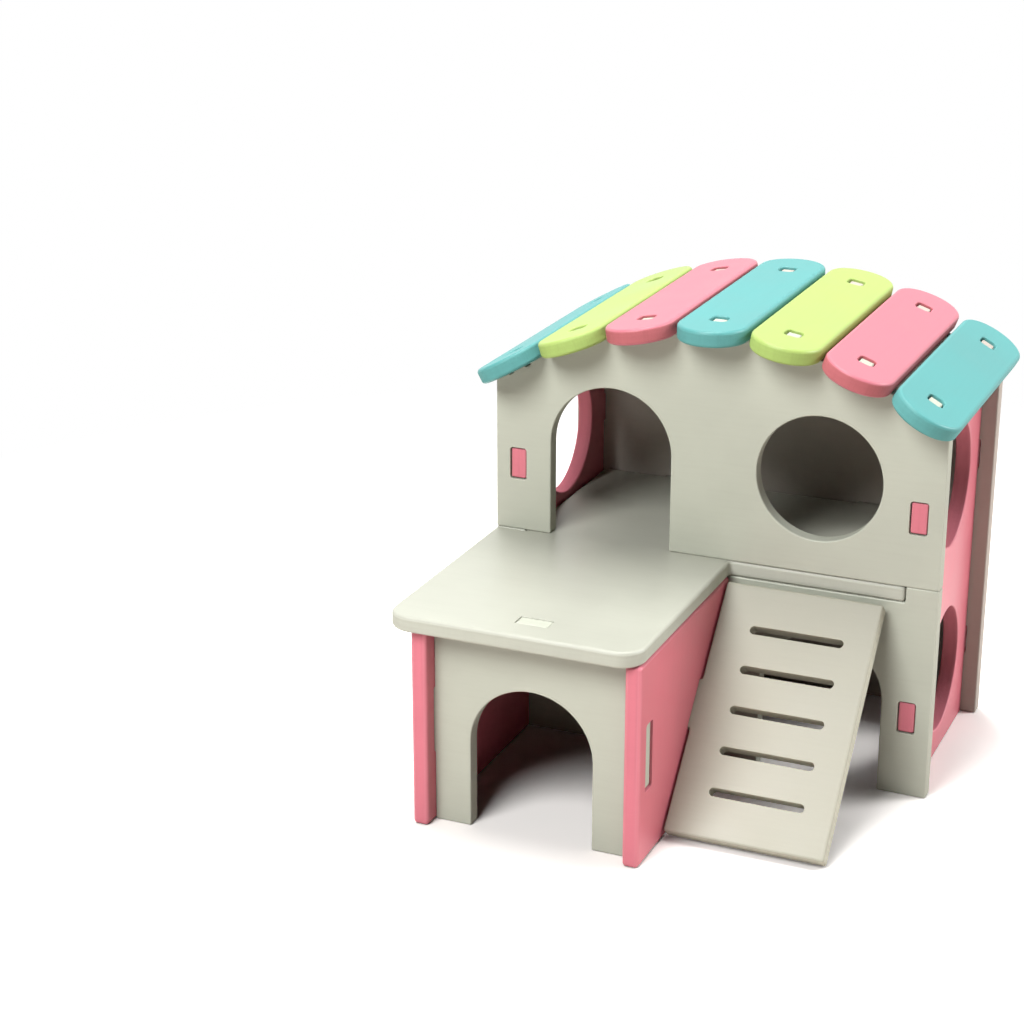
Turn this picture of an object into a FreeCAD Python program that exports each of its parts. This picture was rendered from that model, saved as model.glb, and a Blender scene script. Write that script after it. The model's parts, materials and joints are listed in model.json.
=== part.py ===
import FreeCAD, Part
import math
import os

from FreeCAD import Placement, Rotation, Vector

# Small two-storey play house for a hamster, cut from flat boards that plug together.
# Millimetres. +X to the right of the front, +Y to the back, +Z up.
# The origin is on the ground, at the middle of the whole outline seen from above.

os.makedirs("parts", exist_ok=True)

# Board stock and fits
board = 5.0                # thickness of every board
fit_gap = 0.3              # play on each side of a tenon in its slot
snug_gap = 0.12            # the same for the balcony's slot, which the paint nearly closes
slot_corner = 1.6          # radius of a slot's corners
corner_per_gap = 3.2       # but at most this many times its gap, so that a square tenon passes
tenon_recess = 0.5         # how far a tenon's end stays behind the face it comes out of
through = 1.0              # how far a cutter runs past each face
same_place = 1e-6          # distances below this count as nothing

# Main block
house_width = 144.0        # front and back walls, edge to edge
house_depth = 73.4         # front wall's outer face to back wall's outer face
panel_inset = 5.0          # side panels stand in from the walls' ends by this much
floor_top = 68.4           # top of the upper floor above the ground
ridge_height = 139.0       # top of the walls' middle facet above the ground
panel_top_gap = 1.2        # between a side panel and the slat above it

# Tenons of the side panels, through both walls
side_tenon_length = 9.8
lower_tenon_height = 25.9  # centre of the lower tenon above the ground
upper_tenon_height = 22.0  # centre of the upper tenon above the upper floor

# Openings of the main block
door_radius = 20.0
door_height = 50.4         # above the upper floor
door_offset = 33.4         # door's centre line to the left of the middle
window_radius = 19.6
window_offset = 33.6       # front window's centre to the right of the middle
window_height = 30.2       # front window's centre above the upper floor
side_window_radius = 20.0
upper_side_window_height = 22.0  # centre above the upper floor
lower_side_window_height = 28.2  # centre above the ground
arch_radius = 19.4         # both ground floor arches
gate_height = 48.8         # crown of the arch behind the ladder
gate_offset = 37.1         # centre line of that arch to the right of the middle

# Upper floor with its balcony
balcony_reach = 81.0       # front wall's outer face to the balcony's front edge
balcony_right = 6.8        # balcony's right edge to the right of the middle
balcony_corner = 7.5       # corner radius at the balcony's front
floor_tenon_width = 12.0
floor_tenon_offset = 33.5  # centre of each rear tenon from the middle

# Porch under the balcony
porch_width = 72.0         # outside, over its two side panels
porch_side_reach = 77.5    # front wall's outer face to the side panels' front edges
porch_front_reach = 71.9   # front wall's outer face to the porch front's outer face
porch_arch_height = 47.0
porch_tenon_length = 20.6  # side tenons of the porch front
porch_tenon_height = 32.8  # centre of those above the ground
porch_top_tenon = 10.2     # width of the porch front's tenon through the balcony
porch_root_length = 14.0   # tenons of the porch sides into the lower front wall
porch_root_height = 46.0   # centre of those above the ground
porch_recess = 0.7         # how far the porch front's tenon ends stay back
porch_top_recess = 0.15    # the same for its tenon through the balcony

# Ladder
ladder_slope = 48.0        # degrees from the ground
ladder_length = 80.6
ladder_width = 49.0
ladder_gap = 0.6           # between the ladder and the porch
ladder_wall_gap = 0.05     # between the ladder's top edge and the wall it leans on
step_count = 5
step_pitch = 12.95
step_slot_width = 2.6
step_slot_shift = 0.8      # slots' middle to the right of the ladder's middle
step_slot_run = 26.5       # between the centres of a step slot's round ends
ladder_tenon_length = 15.6
ladder_tenon_place = 40.3  # centre of the tenon up the ladder from its foot

# Roof slats, each square to one facet of the walls' tops
slat_count = 7
slat_width = 21.6
slat_gap = 0.9             # between neighbours where they rest on the walls
roof_radius = 132.2        # roof's centre to the middle of each facet
slat_overhang = 13.8       # past the outer face of each wall
tab_width = 4.3            # tabs that stand up from the walls into the slats
tab_gap = 0.48             # play on each side of a tab in its slat
tab_recess = 0.7           # how far a tab's end stays below the slat's top
relief_width = 2.0         # notch beside each tab's root
relief_depth = 0.9

# Places worked out from the sizes above
total_depth = balcony_reach + house_depth + slat_overhang
front_y = balcony_reach - total_depth / 2
back_y = front_y + house_depth
balcony_front_y = front_y - balcony_reach
inside_front_y = front_y + board
inside_back_y = back_y - board
half_width = house_width / 2
panel_outer_x = half_width - panel_inset
panel_inner_x = panel_outer_x - board
floor_under = floor_top - board
roof_centre_z = ridge_height - roof_radius
slat_pitch = slat_width + slat_gap
facet_step = 2 * math.atan(slat_pitch / 2 / roof_radius)
porch_left = balcony_right - porch_width
porch_left_inner = porch_left + board
porch_right_inner = balcony_right - board
porch_middle = balcony_right - porch_width / 2
porch_front_y = front_y - porch_front_reach
upper_tenon_z = floor_top + upper_tenon_height
side_tenon_heights = (lower_tenon_height, upper_tenon_z)
ladder_left = balcony_right + ladder_gap
slope = math.radians(ladder_slope)


def block(x_low, x_high, y_low, y_high, z_low, z_high):
    """Rectangular solid between two corners."""
    corner = Vector(x_low, y_low, z_low)
    return Part.makeBox(x_high - x_low, y_high - y_low, z_high - z_low, corner)


def upright_board(outline, y_low, y_high):
    """Board that stands across the house: (x, z) outline pushed along Y."""
    points = [Vector(x, y_low, z) for x, z in outline]
    face = Part.Face(Part.makePolygon(points + points[:1]))
    return face.extrude(Vector(0, y_high - y_low, 0))


def flat_board(outline, z_low, z_high):
    """Board that lies flat: (x, y) outline pushed along Z."""
    points = [Vector(x, y, z_low) for x, y in outline]
    face = Part.Face(Part.makePolygon(points + points[:1]))
    return face.extrude(Vector(0, 0, z_high - z_low))


def round_hole(radius, centre, direction):
    """Cutter through one board: centre is where its axis enters the board."""
    axis = Vector(*direction)
    start = Vector(*centre) - axis * through
    return Part.makeCylinder(radius, board + 2 * through, start, axis)


def arch_hole(middle_x, base_z, radius, height, face_y):
    """Doorway in an upright board whose front face is at face_y: straight jambs, half-round head."""
    spring_z = base_z + height - radius
    legs = block(
        middle_x - radius, middle_x + radius,
        face_y - through, face_y + board + through,
        base_z - through, spring_z,
    )
    head = round_hole(radius, (middle_x, face_y, spring_z), (0, 1, 0))
    return legs.fuse(head)


def is_parallel(edge, axis):
    """True for a straight edge that runs along this axis."""
    run = edge.Vertexes[-1].Point - edge.Vertexes[0].Point
    return run.cross(axis).Length < same_place


def slot_cutter(middle, size, along, gap=fit_gap):
    """Slot for a tenon with softened corners; along is the axis it goes through on."""
    grown = [value / 2 + gap for value in size]
    grown["xyz".index(along)] = size["xyz".index(along)] / 2 + through
    low = [place - half for place, half in zip(middle, grown)]
    high = [place + half for place, half in zip(middle, grown)]
    solid = block(low[0], high[0], low[1], high[1], low[2], high[2])
    axis = {"x": Vector(1, 0, 0), "y": Vector(0, 1, 0), "z": Vector(0, 0, 1)}[along]
    corners = [edge for edge in solid.Edges if is_parallel(edge, axis)]
    return solid.makeFillet(min(slot_corner, corner_per_gap * gap), corners)


def facet_point(angle, across, outward):
    """(x, z) of a point given along and out from the facet at this angle from upright."""
    reach = roof_radius + outward
    x = reach * math.sin(angle) + across * math.cos(angle)
    z = roof_centre_z + reach * math.cos(angle) - across * math.sin(angle)
    return x, z


def facet_angles():
    """Angle of each facet from upright, left to right."""
    return [(index - (slat_count - 1) / 2) * facet_step for index in range(slat_count)]


def roof_line(x):
    """Height of the outermost facet above the place x."""
    angle = facet_angles()[-1]
    facet_x, facet_z = facet_point(angle, 0, 0)
    return facet_z - (abs(x) - facet_x) * math.tan(angle)


def roof_edge():
    """Top outline of a wall, left to right: facets, each with a tab and its relief notches."""
    tab = tab_width / 2
    tab_top = board - tab_recess
    points = [(-half_width, roof_line(half_width))]
    for angle in facet_angles():
        profile = [
            (-tab - relief_width, 0),
            (-tab - relief_width, -relief_depth),
            (-tab, -relief_depth),
            (-tab, tab_top),
            (tab, tab_top),
            (tab, -relief_depth),
            (tab + relief_width, -relief_depth),
            (tab + relief_width, 0),
        ]
        points += [facet_point(angle, across, outward) for across, outward in profile]
        points.append(facet_point(angle, slat_pitch / 2, 0))
    points[-1] = (half_width, roof_line(half_width))
    return points


def wall_slots(y_low, heights):
    """Cutters for the side panels' tenons through a wall that starts at y_low."""
    middle_y = y_low + board / 2
    middle_x = panel_outer_x - board / 2
    size = (board, board, side_tenon_length)
    return [
        slot_cutter((side * middle_x, middle_y, height), size, "y")
        for side in (-1, 1)
        for height in heights
    ]


def cut_all(solid, cutters):
    """Solid less every cutter."""
    for cutter in cutters:
        solid = solid.cut(cutter)
    return solid


def front_wall_upper():
    """Upper storey's front with the door and the round window."""
    outline = [(-half_width, floor_top)] + roof_edge() + [(half_width, floor_top)]
    wall = upright_board(outline, front_y, inside_front_y)
    door = arch_hole(-door_offset, floor_top, door_radius, door_height, front_y)
    window_centre = (window_offset, front_y, floor_top + window_height)
    window = round_hole(window_radius, window_centre, (0, 1, 0))
    return cut_all(wall, [door, window] + wall_slots(front_y, [upper_tenon_z]))


def front_wall_lower():
    """Ground floor's front. The floor lies in the notch between two ears that carry the upper wall."""
    outline = [
        (-half_width, 0),
        (-half_width, floor_top),
        (-panel_inner_x, floor_top),
        (-panel_inner_x, floor_under),
        (panel_inner_x, floor_under),
        (panel_inner_x, floor_top),
        (half_width, floor_top),
        (half_width, 0),
    ]
    wall = upright_board(outline, front_y, inside_front_y)
    gate = arch_hole(gate_offset, 0, arch_radius, gate_height, front_y)
    root_size = (board, board, porch_root_length)
    root_y = front_y + board / 2
    roots = [
        slot_cutter((middle_x, root_y, porch_root_height), root_size, "y")
        for middle_x in (porch_left + board / 2, balcony_right - board / 2)
    ]
    return cut_all(wall, [gate] + roots + wall_slots(front_y, [lower_tenon_height]))


def back_wall():
    """One board over both storeys, with the same curved top as the front."""
    outline = [(-half_width, 0)] + roof_edge() + [(half_width, 0)]
    wall = upright_board(outline, inside_back_y, back_y)
    tenon_size = (floor_tenon_width, board, board)
    slot_y = back_y - board / 2
    slot_z = floor_top - board / 2
    floor_slots = [
        slot_cutter((middle_x, slot_y, slot_z), tenon_size, "y")
        for middle_x in (-floor_tenon_offset, floor_tenon_offset)
    ]
    return cut_all(wall, floor_slots + wall_slots(inside_back_y, side_tenon_heights))


def side_panel(side):
    """Side of the main block: side is -1 on the left and 1 on the right."""
    low_x, high_x = sorted((side * panel_inner_x, side * panel_outer_x))
    top_z = roof_line(panel_outer_x) - panel_top_gap
    panel = block(low_x, high_x, inside_front_y, inside_back_y, 0, top_z)
    for height in side_tenon_heights:
        tenon = block(
            low_x, high_x,
            front_y + tenon_recess, back_y - tenon_recess,
            height - side_tenon_length / 2, height + side_tenon_length / 2,
        )
        panel = panel.fuse(tenon)
    middle_y = (front_y + back_y) / 2
    window_heights = (lower_side_window_height, floor_top + upper_side_window_height)
    windows = [
        round_hole(side_window_radius, (low_x, middle_y, height), (1, 0, 0))
        for height in window_heights
    ]
    return cut_all(panel, windows).removeSplitter()


def floor_board():
    """Upper floor and balcony in one piece, with two tenons through the back wall."""
    inner_x = panel_inner_x - fit_gap
    tenon = floor_tenon_width / 2
    rear_y = back_y - tenon_recess
    outline = [(-half_width, balcony_front_y), (-half_width, front_y)]
    outline += [(-inner_x, front_y), (-inner_x, inside_back_y)]
    for middle_x in (-floor_tenon_offset, floor_tenon_offset):
        outline += [
            (middle_x - tenon, inside_back_y),
            (middle_x - tenon, rear_y),
            (middle_x + tenon, rear_y),
            (middle_x + tenon, inside_back_y),
        ]
    outline += [(inner_x, inside_back_y), (inner_x, front_y)]
    outline += [(balcony_right, front_y), (balcony_right, balcony_front_y)]
    plate = flat_board(outline, floor_under, floor_top)
    corners = [edge for edge in plate.Edges if is_balcony_corner(edge)]
    plate = plate.makeFillet(balcony_corner, corners)
    slot_middle = (porch_middle, porch_front_y + board / 2, floor_top - board / 2)
    return plate.cut(slot_cutter(slot_middle, (porch_top_tenon, board, board), "z", snug_gap))


def is_balcony_corner(edge):
    """True for the upright edges at the balcony's front."""
    at_front = abs(edge.Vertexes[0].Point.y - balcony_front_y) < same_place
    return at_front and is_parallel(edge, Vector(0, 0, 1))


def porch_side(low_x, ladder_slot):
    """Porch side panel from low_x, with the ladder's slanted slot where asked."""
    high_x = low_x + board
    panel = block(low_x, high_x, front_y - porch_side_reach, front_y, 0, floor_under)
    root = block(
        low_x, high_x, front_y, inside_front_y - tenon_recess,
        porch_root_height - porch_root_length / 2, porch_root_height + porch_root_length / 2,
    )
    slot_middle = (low_x + board / 2, porch_front_y + board / 2, porch_tenon_height)
    cutters = [slot_cutter(slot_middle, (board, board, porch_tenon_length), "x")]
    if ladder_slot:
        size = (board, ladder_tenon_length, board)
        cutter = slot_cutter((low_x + board / 2, ladder_tenon_place, board / 2), size, "x")
        cutter.Placement = ladder_placement().multiply(cutter.Placement)
        cutters.append(cutter)
    return cut_all(panel.fuse(root), cutters).removeSplitter()


def porch_front():
    """Arched front of the porch, with a tenon through each side and one up through the balcony."""
    plate = block(
        porch_left_inner, porch_right_inner,
        porch_front_y, porch_front_y + board,
        0, floor_under,
    )
    side_tenon = block(
        porch_left + porch_recess, balcony_right - porch_recess,
        porch_front_y, porch_front_y + board,
        porch_tenon_height - porch_tenon_length / 2, porch_tenon_height + porch_tenon_length / 2,
    )
    top_tenon = block(
        porch_middle - porch_top_tenon / 2, porch_middle + porch_top_tenon / 2,
        porch_front_y, porch_front_y + board,
        floor_under - board, floor_top - porch_top_recess,
    )
    arch = arch_hole(porch_middle, 0, arch_radius, porch_arch_height, porch_front_y)
    return plate.fuse(side_tenon).fuse(top_tenon).cut(arch).removeSplitter()


def ladder_placement():
    """Takes a board lying flat on the ground, foot at y = 0, to the leaning ladder's place."""
    foot_y = front_y - ladder_wall_gap - ladder_length * math.cos(slope)
    return Placement(Vector(0, foot_y, 0), Rotation(Vector(1, 0, 0), ladder_slope))


def ladder():
    """Slotted board that leans on the lower wall, with a tenon into the porch's side."""
    right = ladder_left + ladder_width
    plate = block(ladder_left, right, 0, ladder_length, 0, board)
    tenon_left = balcony_right - board + porch_recess
    tenon = block(
        tenon_left, ladder_left,
        ladder_tenon_place - ladder_tenon_length / 2, ladder_tenon_place + ladder_tenon_length / 2,
        0, board,
    )
    middle_x = ladder_left + ladder_width / 2 + step_slot_shift
    radius = step_slot_width / 2
    end_places = (middle_x - step_slot_run / 2, middle_x + step_slot_run / 2)
    cutters = []
    for index in range(step_count):
        place_y = ladder_length / 2 + (index - (step_count - 1) / 2) * step_pitch
        straight = block(*end_places, place_y - radius, place_y + radius, -through, board + through)
        ends = [round_hole(radius, (end_x, place_y, 0), (0, 0, 1)) for end_x in end_places]
        cutters.append(straight.fuse(ends))
    plate = cut_all(plate.fuse(tenon), cutters).removeSplitter()
    plate.Placement = ladder_placement().multiply(plate.Placement)
    return plate


def roof_slat(angle):
    """Round-ended slat on the facet at this angle, with a slot for each wall's tab."""
    half = slat_width / 2
    low_y = front_y - slat_overhang + half
    high_y = back_y + slat_overhang - half
    plate = block(-half, half, low_y, high_y, 0, board)
    ends = [Part.makeCylinder(half, board, Vector(0, end_y, 0)) for end_y in (low_y, high_y)]
    slots = [
        slot_cutter((0, tab_y, board / 2), (tab_width, board, board), "z", tab_gap)
        for tab_y in (front_y + board / 2, back_y - board / 2)
    ]
    slat = cut_all(plate.fuse(ends).removeSplitter(), slots)
    x, z = facet_point(angle, 0, 0)
    slat.Placement = Placement(Vector(x, 0, z), Rotation(Vector(0, 1, 0), math.degrees(angle)))
    return slat


def save(name, shape):
    """One STEP file for each piece."""
    shape.exportStep("parts/" + name + ".step")
    print(name, len(shape.Solids), round(shape.Volume, 1), shape.isValid())


save("front_wall_upper", front_wall_upper())
save("front_wall_lower", front_wall_lower())
save("back_wall", back_wall())
save("side_panel_left", side_panel(-1))
save("side_panel_right", side_panel(1))
save("floor_board", floor_board())
save("porch_side_left", porch_side(porch_left, False))
save("porch_side_right", porch_side(porch_right_inner, True))
save("porch_front", porch_front())
save("ladder", ladder())
for index, angle in enumerate(facet_angles()):
    save("roof_slat_" + str(index + 1), roof_slat(angle))
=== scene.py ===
import json
import math

import bmesh
import bpy
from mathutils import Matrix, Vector
from mathutils.geometry import tessellate_polygon


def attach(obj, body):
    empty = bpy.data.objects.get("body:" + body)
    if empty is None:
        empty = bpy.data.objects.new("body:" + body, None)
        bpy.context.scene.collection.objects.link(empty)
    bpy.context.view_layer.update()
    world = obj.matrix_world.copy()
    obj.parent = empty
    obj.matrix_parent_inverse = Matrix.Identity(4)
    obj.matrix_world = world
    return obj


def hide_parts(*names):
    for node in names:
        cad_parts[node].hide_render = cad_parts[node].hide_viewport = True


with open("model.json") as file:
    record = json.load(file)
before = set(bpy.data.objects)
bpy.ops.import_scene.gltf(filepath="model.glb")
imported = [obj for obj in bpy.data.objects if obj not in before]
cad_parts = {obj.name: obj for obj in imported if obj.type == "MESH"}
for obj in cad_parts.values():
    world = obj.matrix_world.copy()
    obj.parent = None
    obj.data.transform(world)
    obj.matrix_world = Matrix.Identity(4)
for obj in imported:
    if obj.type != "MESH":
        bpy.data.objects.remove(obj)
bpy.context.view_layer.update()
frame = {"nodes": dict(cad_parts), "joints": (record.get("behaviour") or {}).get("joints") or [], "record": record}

# Painted boards of a small flat-pack house. Metres, in the frame of the model.

# Edges and corners of the boards
BOARD = 0.005             # thickness of every board
CRISP_EDGE = 0.0005       # rounding of the edges of walls and panels
LADDER_EDGE = 0.0007      # the same for the ladder
SOFT_EDGE = 0.0011        # the same for the boards that were sanded more: slats and balcony
PORCH_EDGE = 0.0012       # the same for the porch's pink sides
SLOT_EDGE = 0.0002        # the same for small slots
SLAT_SLOT_EDGE = 0.0004   # the same for the slats' slots
SLOT_RUN = 0.075          # a hole with an outline shorter than this is a small slot
CORNER_RADIUS = 0.0006    # least rounding of the corners of a board's outline
CORNER_SHARE = 1.15       # a corner's rounding is at least this many times its edge's
CORNER_REACH = 0.45       # a corner's rounding takes at most this share of the lines beside it
EDGE_STEPS = 4            # segments across a rounded edge
CORNER_STEPS = 3          # segments round a corner
MITRE_LIMIT = 2.5         # a corner moves at most this far when its lines move inward by 1
CORNER_TURN = math.radians(24)     # an outline that turns by more than this has a corner
STRAIGHT_TURN = math.radians(0.2)  # an outline that turns by less than this is straight
SHARP_TURN = math.radians(50)      # faces that meet at more than this meet in a sharp edge
FLAT_WEIGHT = 100                  # large faces lead the shading: 50 is evenly, 100 the most

# Reading the CAD mesh
WELD = 1e-6               # points closer than this are one point
SAME_DIRECTION = 0.999    # least cosine between directions that count as the same
SQUARE = 0.01             # largest cosine between directions that count as square

# Camera of the photograph, solved from the house's own square edges
CAMERA_PLACE = (0.20574, -0.62440, 0.31721)
CAMERA_PITCH = 0.3445     # below the horizon, in radians
CAMERA_YAW = 0.4132       # to the left of straight ahead, in radians
FOCAL_PIXELS = 2254.2
FRAME_PIXELS = 1024
SENSOR = 36.0             # width of the film, in millimetres
CLIP_NEAR = 0.05
CLIP_FAR = 20

# Paint colours, linear
GREY = (0.642, 0.668, 0.558)
CREAM = (0.55, 0.56, 0.475)
# Painted shade: the ladder's cream is a darker copy of the floor board's cream
LADDER_CREAM = (0.500, 0.493, 0.395)
# Painted shade: the back wall is darker and warmer than the grey walls, for the shade and pink bounce inside the
# house
BACK_GREY = (0.60, 0.56, 0.49)
PANEL_PINK = (0.90, 0.225, 0.288)
SLAT_PINK = (0.71, 0.205, 0.260)
SLAT_TEAL = (0.100, 0.402, 0.392)
SLAT_GREEN = (0.462, 0.625, 0.154)

# How much of the face's colour a cut rim has
PINK_RIM = (0.91, 0.88, 0.77)
TEAL_RIM = (1.45, 1.16, 1.16)
GREEN_RIM = (1.10, 1.13, 1.28)
# The cream and ladder rims are lighter than their faces: a painted highlight along those cut edges
CREAM_RIM = (1.24, 1.26, 1.27)
LADDER_RIM = (1.50, 1.52, 1.55)
BACK_RIM = (1.08, 1.03, 1.04)
PANEL_RIM = (1.03, 1.19, 1.17)

# Shades of a paint: share of its colour, and what is added
LIGHT_SHADE = (1.05, 0.01)
DARK_SHADE = (0.94, 0.0)
# the lighter shade is a painted highlight along the rounded edges
HIGHLIGHT_SHADE = (1.12, 0.06)

# Patterns: cells per metre along each axis, size, detail and roughness
GRAIN = ((45, 900, 900), 1.0, 3, 0.6)
BLOTCHES = ((1, 1, 1), 38, 3, 0.5)
SPECKLE = ((1, 1, 1), 2600, 2, 0.5)
SAW_MARKS = ((520, 40, 1), 1.0, 3, 0.6)
WOOD_LAYERS = ((9, 620, 1), 1.0, 2, 0.5)

# Where in a pattern its mark starts and is full, then how strong the mark is at both
BLOTCH_LEVELS = (0.35, 0.68, 0.25, 0.75)
GRAIN_LEVELS = (0.45, 0.75, 0.0, 0.07)
LAYER_LEVELS = (0.42, 0.70, 0.0, 0.16)
SAW_RANGE = (0.46, 0.72)
GLOSS_RANGE = (0.3, 0.7)

# What the marks multiply the paint with at full strength
GRAIN_TINT = (0.72, 0.70, 0.66, 1)
SAW_TINT = (0.66, 0.64, 0.62, 1)
LAYER_TINT = (0.70, 0.66, 0.64, 1)

# Relief of the marks, against the grain's
SPECKLE_RELIEF = 0.5
SAW_RELIEF = 4            # times the strength of the saw marks
LAYER_RELIEF = 1.2
BUMP_STRENGTH = 0.5

# Finish: least roughness, specular level and depth of the relief
FACE_FINISH = (0.34, 0.5, 0.00006)
RIM_FINISH = (0.62, 0.3, 0.00018)
ROUGHNESS_SPREAD = 0.12   # the blotches make the paint rougher by up to this

SLAT_LOOK = {"marks": 0.16, "highlight_share": 0.2}   # rougher rims and a fainter painted edge highlight than the walls
GRAIN_STEP = (0.37, 0.21, 0.13)                 # moves the patterns from one board to the next
FACE_PAINT, RIM_PAINT = 0, 1                    # material numbers on every board

# Light and floor
WHITE = (1, 1, 1, 1)
LIGHT_TARGET = (0, 0, 0.06)         # every light looks at the middle of the object
FADE_DEPTHS = (0.5, 2.1)            # the lamps' light fades between these bounces
BOUNCE_TINT = (1, 0.86, 0.78, 1)    # colour of light that has bounced
BOUNCE_WARMTH = 1.6                 # share of that tint at the fade's end; it is full from 1
FLOOR_HALF = 3.0
FLOOR_LIT = (0.93, 0.89, 0.86, 1)   # colour of the floor for the light that it gives back
FLOOR_SEEN = (1.42, 1.38, 1.34, 1)  # the same for the camera, so that it reads as white
FLOOR_FADE = (0.20, 0.42)           # between these distances the floor turns plain white

X, Y, Z = Vector((1, 0, 0)), Vector((0, 1, 0)), Vector((0, 0, 1))


def flat(point, axes):
    """A point's place along the two in-plane axes of a board."""
    return Vector(point.dot(axis) for axis in axes[:2])


def read_loops(node, axes):
    """Outline and holes of a board's front face, material on the left, and the face's level."""
    normal = axes[2]
    work = bmesh.new()
    work.from_mesh(frame["nodes"][node].data)
    bmesh.ops.remove_doubles(work, verts=work.verts, dist=WELD)
    work.normal_update()
    faces = [face for face in work.faces if face.normal.dot(normal) > SAME_DIRECTION]
    front = set(faces)
    following = {}
    for face in faces:
        for corner in face.loops:
            if not any(other in front for other in corner.edge.link_faces if other is not face):
                following[corner.vert] = corner.link_loop_next.vert
    level = max(vert.co.dot(normal) for vert in following)
    loops = []
    while following:
        vert = next(iter(following))
        loop = []
        while vert in following:
            loop.append(flat(vert.co, axes))
            vert = following.pop(vert)
        loops.append(loop)
    work.free()
    return loops, level


def turns(loop):
    """For each point: unit direction in, unit direction out and the signed turn between them."""
    result = []
    for index, point in enumerate(loop):
        arriving = (point - loop[index - 1]).normalized()
        leaving = (loop[(index + 1) % len(loop)] - point).normalized()
        cross = arriving.x * leaving.y - arriving.y * leaving.x
        result.append((arriving, leaving, math.atan2(cross, arriving.dot(leaving))))
    return result


def without_straight_points(loop):
    """Outline without the points that lie on a straight stretch."""
    return [point for point, (_, _, turn) in zip(loop, turns(loop)) if abs(turn) > STRAIGHT_TURN]


def edge_radius(node, loop):
    """Rounding of a board's edges along one of its outlines."""
    is_slat = node.startswith("roof_slat")
    if sum((point - loop[index - 1]).length for index, point in enumerate(loop)) < SLOT_RUN:
        return SLAT_SLOT_EDGE if is_slat else SLOT_EDGE
    if node.startswith("porch_side"):
        return PORCH_EDGE
    if node == "ladder":
        return LADDER_EDGE
    return SOFT_EDGE if is_slat or node == "floor_board" else CRISP_EDGE


def with_round_corners(loop, edge):
    """Outline with a small arc at each corner, for boards with this rounding of the edges."""
    rounded = []
    corner_radius = max(CORNER_RADIUS, CORNER_SHARE * edge)
    for index, (arriving, leaving, turn) in enumerate(turns(loop)):
        point = loop[index]
        if abs(turn) < CORNER_TURN:
            rounded.append(point)
            continue
        before = (point - loop[index - 1]).length
        after = (loop[(index + 1) % len(loop)] - point).length
        wanted = corner_radius * math.tan(abs(turn) / 2)
        reach = min(wanted, CORNER_REACH * before, CORNER_REACH * after)
        start, end = point - arriving * reach, point + leaving * reach
        for step in range(CORNER_STEPS + 1):
            share = step / CORNER_STEPS
            rounded.append(start.lerp(point, share).lerp(point.lerp(end, share), share))
    return rounded


def inward(loop):
    """Vector at each point that moves the outline's two lines one unit into the material."""
    result = []
    for arriving, leaving, turn in turns(loop):
        middle = (arriving + leaving).normalized()
        length = 1 / max(math.cos(turn / 2), 1 / MITRE_LIMIT)
        result.append(Vector((-middle.y, middle.x)) * length)
    return result


def edge_profile(radius):
    """(inset, depth) pairs over a board's thickness, from the front face to the back face."""
    front = []
    for step in range(EDGE_STEPS + 1):
        angle = math.pi / 2 * step / EDGE_STEPS
        front.append((radius * (1 - math.sin(angle)), radius * (1 - math.cos(angle))))
    return front + [(inset, BOARD - depth) for inset, depth in reversed(front)]


def highlight_of(ring, ring_count):
    """Strength of the painted edge highlight: 1 in the middle of a rounded edge, 0 on the faces and on the flat of
    the rim.
    """
    step = min(ring, ring_count - 1 - ring)
    return math.sin(math.pi * min(step / EDGE_STEPS, 1.0))


def ring_points(loops, profiles, level):
    """Points of all rings in the board's axes, the strength of the painted edge highlight at each, and each loop's
    first number.
    """
    places, highlight, first_of = [], [], []
    for loop, profile in zip(loops, profiles):
        first_of.append(len(places))
        moves = inward(loop)
        for ring, (inset, depth) in enumerate(profile):
            for point, move in zip(loop, moves):
                place = point + move * inset
                places.append(Vector((place.x, place.y, level - depth)))
                highlight.append(highlight_of(ring, len(profile)))
    return places, highlight, first_of


def side_faces(loop, profile, first):
    """Faces between a loop's rings, each as (points, their places on the rim, material number)."""
    count = len(loop)
    run = [0.0]
    for index in range(count):
        run.append(run[-1] + (loop[(index + 1) % count] - loop[index]).length)
    faces = []
    for ring in range(len(profile) - 1):
        upper, lower = first + ring * count, first + (ring + 1) * count
        near, far = profile[ring][1], profile[ring + 1][1]
        is_rim = EDGE_STEPS - 1 <= ring < len(profile) - EDGE_STEPS
        for index in range(count):
            after = (index + 1) % count
            start, end = run[index], run[index + 1]
            corners = (upper + index, lower + index, lower + after, upper + after)
            rims = ((start, near), (start, far), (end, far), (end, near))
            faces.append((corners, rims, RIM_PAINT if is_rim else FACE_PAINT))
    return faces


def cap_faces(verts, axes, loops, first_of, ring, is_back):
    """Triangles that close the front or the back of a board, in the same form."""
    outlines, numbers = [], []
    for loop, first in zip(loops, first_of):
        start = first + ring * len(loop)
        outlines.append([flat(vert, axes).to_3d() for vert in verts[start:start + len(loop)]])
        numbers += range(start, start + len(loop))
    points = [point for outline in outlines for point in outline]
    faces = []
    for triangle in tessellate_polygon(outlines):
        a, b, c = (points[index] for index in triangle)
        corners = [numbers[index] for index in triangle]
        if ((b - a).cross(c - a).z < 0) != is_back:
            corners.reverse()
        faces.append((corners, [(0, 0)] * 3, FACE_PAINT))
    return faces


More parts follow.
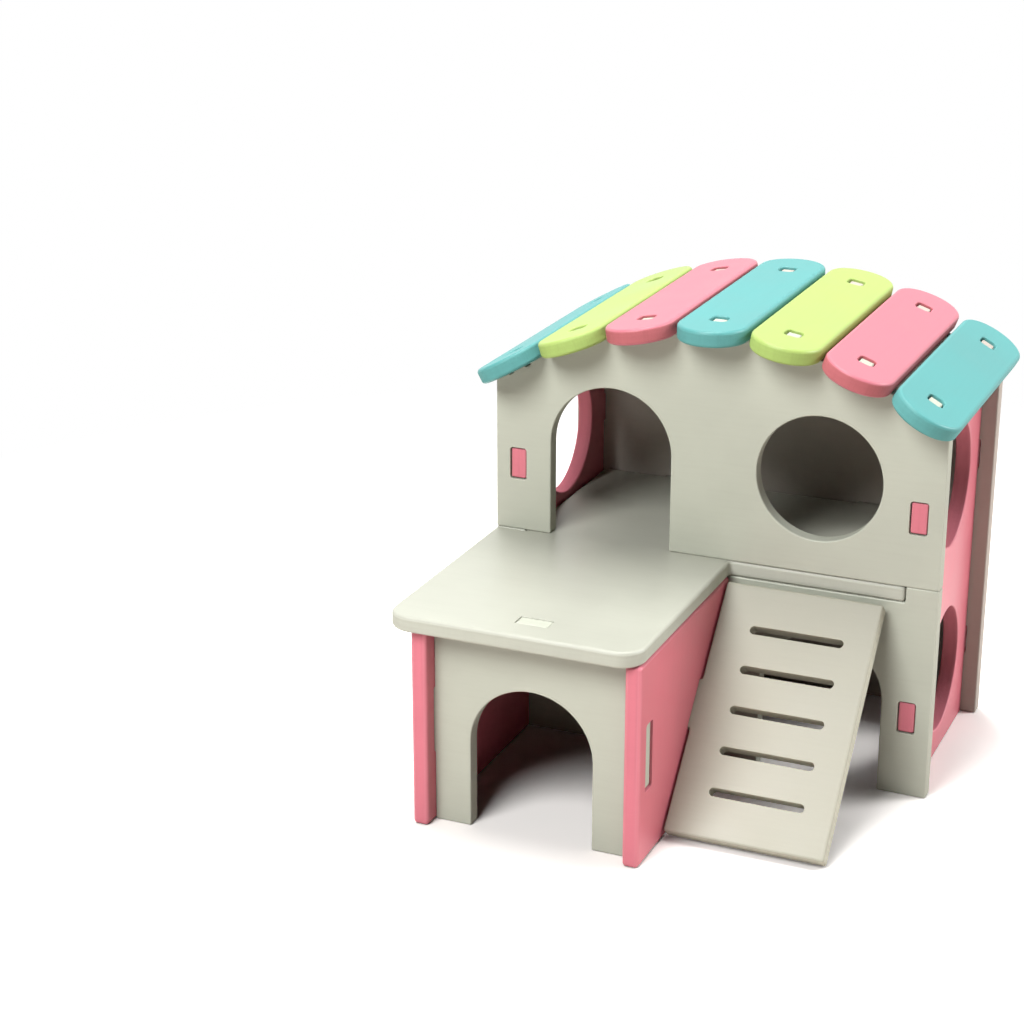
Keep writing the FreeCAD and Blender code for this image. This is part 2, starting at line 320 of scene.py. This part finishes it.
def board_mesh(name, verts, faces, grain, highlight, materials):
    """Smooth mesh with the three attributes that the paints read."""
    mesh = bpy.data.meshes.new(name)
    mesh.from_pydata(verts, [], [corners for corners, _, _ in faces])
    along_rim = [value for _, rims, _ in faces for pair in rims for value in (*pair, 0)]
    mesh.attributes.new("grain", "FLOAT_VECTOR", "POINT").data.foreach_set(
        "vector", [value for place in grain for value in place])
    mesh.attributes.new("highlight", "FLOAT", "POINT").data.foreach_set("value", highlight)
    mesh.attributes.new("rim", "FLOAT_VECTOR", "CORNER").data.foreach_set("vector", along_rim)
    for material in materials:
        mesh.materials.append(material)
    mesh.polygons.foreach_set("material_index", [number for _, _, number in faces])
    mesh.shade_smooth()
    mesh.set_sharp_from_angle(angle=SHARP_TURN)
    mesh.update()
    return mesh


def make_board(name, node, axes, materials, seed):
    """Board with rounded edges on the outline and holes of a CAD node, in that node's place."""
    loops, level = read_loops(node, axes)
    loops = [without_straight_points(loop) for loop in loops]
    radii = [edge_radius(node, loop) for loop in loops]
    loops = [with_round_corners(loop, radius) for loop, radius in zip(loops, radii)]
    profiles = [edge_profile(radius) for radius in radii]
    places, highlight, first_of = ring_points(loops, profiles, level)
    verts = [axes[0] * place.x + axes[1] * place.y + axes[2] * place.z for place in places]
    faces = []
    for loop, profile, first in zip(loops, profiles, first_of):
        faces += side_faces(loop, profile, first)
    faces += cap_faces(verts, axes, loops, first_of, 0, False)
    faces += cap_faces(verts, axes, loops, first_of, len(profiles[0]) - 1, True)
    shift = Vector([step * seed for step in GRAIN_STEP])
    grain = [place + shift for place in places]
    piece = bpy.data.objects.new(name, board_mesh(name, verts, faces, grain, highlight, materials))
    bpy.context.scene.collection.objects.link(piece)
    normals = piece.modifiers.new("even_faces", "WEIGHTED_NORMAL")
    normals.keep_sharp = True
    normals.weight = FLAT_WEIGHT
    return piece


def feed(tree, socket, value):
    """Give a socket a number, a colour or another node's output."""
    if isinstance(value, bpy.types.NodeSocket):
        tree.links.new(value, socket)
    else:
        socket.default_value = value


def add_node(tree, kind, **sockets):
    """New node with its sockets fed by name."""
    node = tree.nodes.new(kind)
    for name, value in sockets.items():
        feed(tree, node.inputs[name.replace("_", " ")], value)
    return node


def attribute(tree, name):
    """Node that reads a mesh attribute."""
    node = tree.nodes.new("ShaderNodeAttribute")
    node.attribute_name = name
    return node


def pattern(tree, place, scale, size, detail, roughness):
    """Noise over a place, stretched by the scale along each axis."""
    mapping = add_node(tree, "ShaderNodeMapping", Vector=place, Scale=scale)
    return add_node(
        tree, "ShaderNodeTexNoise",
        Vector=mapping.outputs["Vector"], Scale=size, Detail=detail, Roughness=roughness,
    ).outputs["Fac"]


def ranged(tree, value, low, high, to_low, to_high):
    """Value from one range to another, held at its ends."""
    return add_node(
        tree, "ShaderNodeMapRange",
        Value=value, From_Min=low, From_Max=high, To_Min=to_low, To_Max=to_high,
    ).outputs["Result"]


def mixed(tree, mode, factor, first, second):
    """Mix of two colours; this node's colour sockets share their names, so they go by number."""
    node = tree.nodes.new("ShaderNodeMix")
    node.data_type = "RGBA"
    node.blend_type = mode
    feed(tree, node.inputs[0], factor)
    feed(tree, node.inputs[6], first)
    feed(tree, node.inputs[7], second)
    return node.outputs[2]


def calculated(tree, operation, *values):
    """Result of a math operation on numbers or outputs."""
    node = tree.nodes.new("ShaderNodeMath")
    node.operation = operation
    for socket, value in zip(node.inputs, values):
        feed(tree, socket, value)
    return node.outputs[0]


def with_share(tree, first, second, share):
    """First plus share times second."""
    return calculated(tree, "MULTIPLY_ADD", second, share, first)


def shade(colour, level):
    """Lighter or darker shade of a colour, as a socket takes it."""
    share, addition = level
    return (*[min(channel * share + addition, 1.0) for channel in colour], 1)


def paint(name, colour, is_rim, marks, highlight_share):
    """Satin paint on wood: faint grain and blotches, a painted highlight along the rounded edges; layers and saw
    marks on rims.
    """
    material = bpy.data.materials.new(name)
    material.use_nodes = True
    tree = material.node_tree
    shader = tree.nodes["Principled BSDF"]
    place = attribute(tree, "grain").outputs["Vector"]
    grain = pattern(tree, place, *GRAIN)
    blotches = pattern(tree, place, *BLOTCHES)
    speckle = pattern(tree, place, *SPECKLE)
    blotch = ranged(tree, blotches, *BLOTCH_LEVELS)
    base = mixed(tree, "MIX", blotch, shade(colour, DARK_SHADE), shade(colour, LIGHT_SHADE))
    base = mixed(tree, "MULTIPLY", ranged(tree, grain, *GRAIN_LEVELS), base, GRAIN_TINT)
    height = with_share(tree, grain, speckle, SPECKLE_RELIEF)
    if is_rim:
        rim = attribute(tree, "rim").outputs["Vector"]
        saw = pattern(tree, rim, *SAW_MARKS)
        layers = pattern(tree, rim, *WOOD_LAYERS)
        base = mixed(tree, "MULTIPLY", ranged(tree, saw, *SAW_RANGE, 0.0, marks), base, SAW_TINT)
        base = mixed(tree, "MULTIPLY", ranged(tree, layers, *LAYER_LEVELS), base, LAYER_TINT)
        height = with_share(tree, height, saw, SAW_RELIEF * marks)
        height = with_share(tree, height, layers, LAYER_RELIEF)
    # Painted highlight: the middle of each rounded edge gets a lighter shade of the paint
    highlight = ranged(tree, attribute(tree, "highlight").outputs["Fac"], 0.0, 1.0, 0.0, highlight_share)
    base = mixed(tree, "MIX", highlight, base, shade(colour, HIGHLIGHT_SHADE))
    smoothest, specular, depth = RIM_FINISH if is_rim else FACE_FINISH
    rough = ranged(tree, blotches, *GLOSS_RANGE, smoothest, smoothest + ROUGHNESS_SPREAD)
    bump = add_node(
        tree, "ShaderNodeBump",
        Strength=BUMP_STRENGTH, Distance=depth, Height=height,
    )
    feed(tree, shader.inputs["Base Color"], base)
    feed(tree, shader.inputs["Roughness"], rough)
    feed(tree, shader.inputs["Specular IOR Level"], specular)
    feed(tree, shader.inputs["Normal"], bump.outputs["Normal"])
    return material


def paints(name, colour, rim_share=(1, 1, 1), marks=0.05, highlight_share=0.5):
    """Paint of a board's faces, and of its cut rims."""
    rim_colour = [channel * share for channel, share in zip(colour, rim_share)]
    return (
        paint(name + "_face", colour, False, marks, highlight_share),
        paint(name + "_rim", rim_colour, True, marks, highlight_share),
    )


# By material slot; a node that has paints of its own stands under its own name
PAINTS = {
    "wall_grey": paints("wall_grey", GREY),
    "back_wall": paints("back_wall", BACK_GREY, BACK_RIM),
    "floor_cream": paints("floor_cream", CREAM, CREAM_RIM),
    "ladder": paints("ladder_cream", LADDER_CREAM, LADDER_RIM),
    "panel_pink": paints("panel_pink", PANEL_PINK, PANEL_RIM, highlight_share=0.85),
    "slat_pink": paints("slat_pink", SLAT_PINK, PINK_RIM, **SLAT_LOOK),
    "slat_teal": paints("slat_teal", SLAT_TEAL, TEAL_RIM, **SLAT_LOOK),
    "slat_green": paints("slat_green", SLAT_GREEN, GREEN_RIM, **SLAT_LOOK),
}

BODY_OF = {
    node: body
    for body, nodes in frame["record"]["behaviour"]["bodies"].items()
    for node in nodes
}
SLOT_OF = {part["node"]: part["material_slot"] for part in frame["record"]["subparts"]}


def square_axes(along, normal):
    """(along the grain, across it, normal) of a board, right-handed."""
    return along, normal.cross(along), normal


def slat_axes(node):
    """Axes of a slat: the grain runs to the back, the normal is square to its facet."""
    joint = next(joint for joint in frame["joints"] if joint["child"] == BODY_OF[node])
    return square_axes(Y, Vector(joint["axis"]).normalized())


def largest_normal(node, along):
    """Normal of a node's largest flat face that runs along an axis and looks up."""
    areas = {}
    for face in frame["nodes"][node].data.polygons:
        if abs(face.normal.dot(along)) < SQUARE and face.normal.z > 0:
            key = tuple(round(value, 3) for value in face.normal)
            areas[key] = areas.get(key, 0) + face.area
    return Vector(max(areas, key=areas.get)).normalized()


def board_axes(node):
    """Axes of any board of the house."""
    if node.startswith("roof_slat"):
        return slat_axes(node)
    if node == "ladder":
        return square_axes(X, largest_normal(node, X))
    if node == "floor_board":
        return square_axes(X, Z)
    if node.startswith(("side_panel", "porch_side")):
        return square_axes(Z, X)
    return square_axes(X, -Y)


def dress_boards():
    """A rounded, painted board in place of each CAD solid, on the same body."""
    for seed, node in enumerate(sorted(frame["nodes"]), 1):
        materials = PAINTS.get(node, PAINTS[SLOT_OF[node]])
        piece = make_board(node + "_board", node, board_axes(node), materials, seed)
        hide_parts(node)
        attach(piece, BODY_OF[node])


def seen_rays(tree):
    """1 for what the camera sees, straight or in a reflection."""
    rays = tree.nodes.new("ShaderNodeLightPath")
    return calculated(tree, "MAXIMUM", rays.outputs["Is Camera Ray"], rays.outputs["Is Glossy Ray"])


def floor_paint():
    """White to the camera, with the object's soft shadow near it and plain white further out."""
    material = bpy.data.materials.new("floor_white")
    material.use_nodes = True
    tree = material.node_tree
    tree.nodes.remove(tree.nodes["Principled BSDF"])
    seen = seen_rays(tree)
    colour = mixed(tree, "MIX", seen, FLOOR_LIT, FLOOR_SEEN)
    paper = add_node(tree, "ShaderNodeBsdfDiffuse", Color=colour)
    glow = add_node(tree, "ShaderNodeEmission", Color=WHITE, Strength=1.0)
    place = tree.nodes.new("ShaderNodeTexCoord").outputs["Object"]
    distance = add_node(tree, "ShaderNodeVectorMath", Vector=place)
    distance.operation = "LENGTH"
    far = ranged(tree, distance.outputs["Value"], *FLOOR_FADE, 0.0, 1.0)
    blend = tree.nodes.new("ShaderNodeMixShader")
    feed(tree, blend.inputs[0], calculated(tree, "MULTIPLY", far, seen))
    feed(tree, blend.inputs[1], paper.outputs[0])
    feed(tree, blend.inputs[2], glow.outputs[0])
    feed(tree, tree.nodes["Material Output"].inputs["Surface"], blend.outputs[0])
    return material


def make_floor():
    """Plain floor under the object."""
    sides = ((-1, -1), (1, -1), (1, 1), (-1, 1))
    mesh = bpy.data.meshes.new("floor")
    mesh.from_pydata([(x * FLOOR_HALF, y * FLOOR_HALF, 0) for x, y in sides], [], [(0, 1, 2, 3)])
    mesh.materials.append(floor_paint())
    floor = bpy.data.objects.new("floor", mesh)
    bpy.context.scene.collection.objects.link(floor)


def make_world():
    """Surroundings that are white for the camera and for reflections, and give no light."""
    world = bpy.data.worlds.new("studio")
    world.use_nodes = True
    tree = world.node_tree
    background = tree.nodes["Background"]
    background.inputs["Color"].default_value = WHITE
    feed(tree, background.inputs["Strength"], seen_rays(tree))
    bpy.context.scene.world = world


def fading(tree, direct, later):
    """A value that goes from its direct to its later amount as light bounces on."""
    depth = tree.nodes.new("ShaderNodeLightPath").outputs["Diffuse Depth"]
    return ranged(tree, depth, *FADE_DEPTHS, direct, later)


def add_light(name, place, size, share, glossy=True):
    """Round soft light; its share is of the level at which a colour renders as it is written."""
    data = bpy.data.lights.new(name, "AREA")
    data.shape = "DISK"
    data.size = size
    run = Vector(LIGHT_TARGET) - Vector(place)
    data.energy = share * math.pi ** 2 * run.length_squared
    data.use_nodes = True
    tree = data.node_tree
    emission = tree.nodes["Emission"]
    feed(tree, emission.inputs["Strength"], fading(tree, 1.0, 0.0))
    warmth = fading(tree, 0.0, BOUNCE_WARMTH)
    feed(tree, emission.inputs["Color"], mixed(tree, "MIX", warmth, WHITE, BOUNCE_TINT))
    light = bpy.data.objects.new(name, data)
    light.visible_glossy = glossy
    light.location = place
    light.rotation_euler = run.to_track_quat("-Z", "Y").to_euler()
    bpy.context.scene.collection.objects.link(light)


def make_camera():
    """Camera at the photograph's place, with its angle of view."""
    data = bpy.data.cameras.new("camera")
    data.sensor_width = SENSOR
    data.lens = FOCAL_PIXELS / FRAME_PIXELS * SENSOR
    data.clip_start = CLIP_NEAR
    data.clip_end = CLIP_FAR
    camera = bpy.data.objects.new("camera", data)
    camera.location = CAMERA_PLACE
    camera.rotation_euler = (math.pi / 2 - CAMERA_PITCH, 0, CAMERA_YAW)
    bpy.context.scene.collection.objects.link(camera)
    bpy.context.scene.camera = camera


dress_boards()
make_floor()
make_world()
add_light("top", place=(-0.09, 0.10, 1.18), size=0.75, share=0.86)
add_light("key", place=(-0.16, -0.60, 0.62), size=0.42, share=0.74)
add_light("side", place=(0.83, 0.44, 0.62), size=0.5, share=0.56)
add_light("back", place=(-0.55, 0.80, 0.62), size=0.5, share=0.40, glossy=False)
make_camera()
bpy.context.scene.view_settings.view_transform = "Standard"
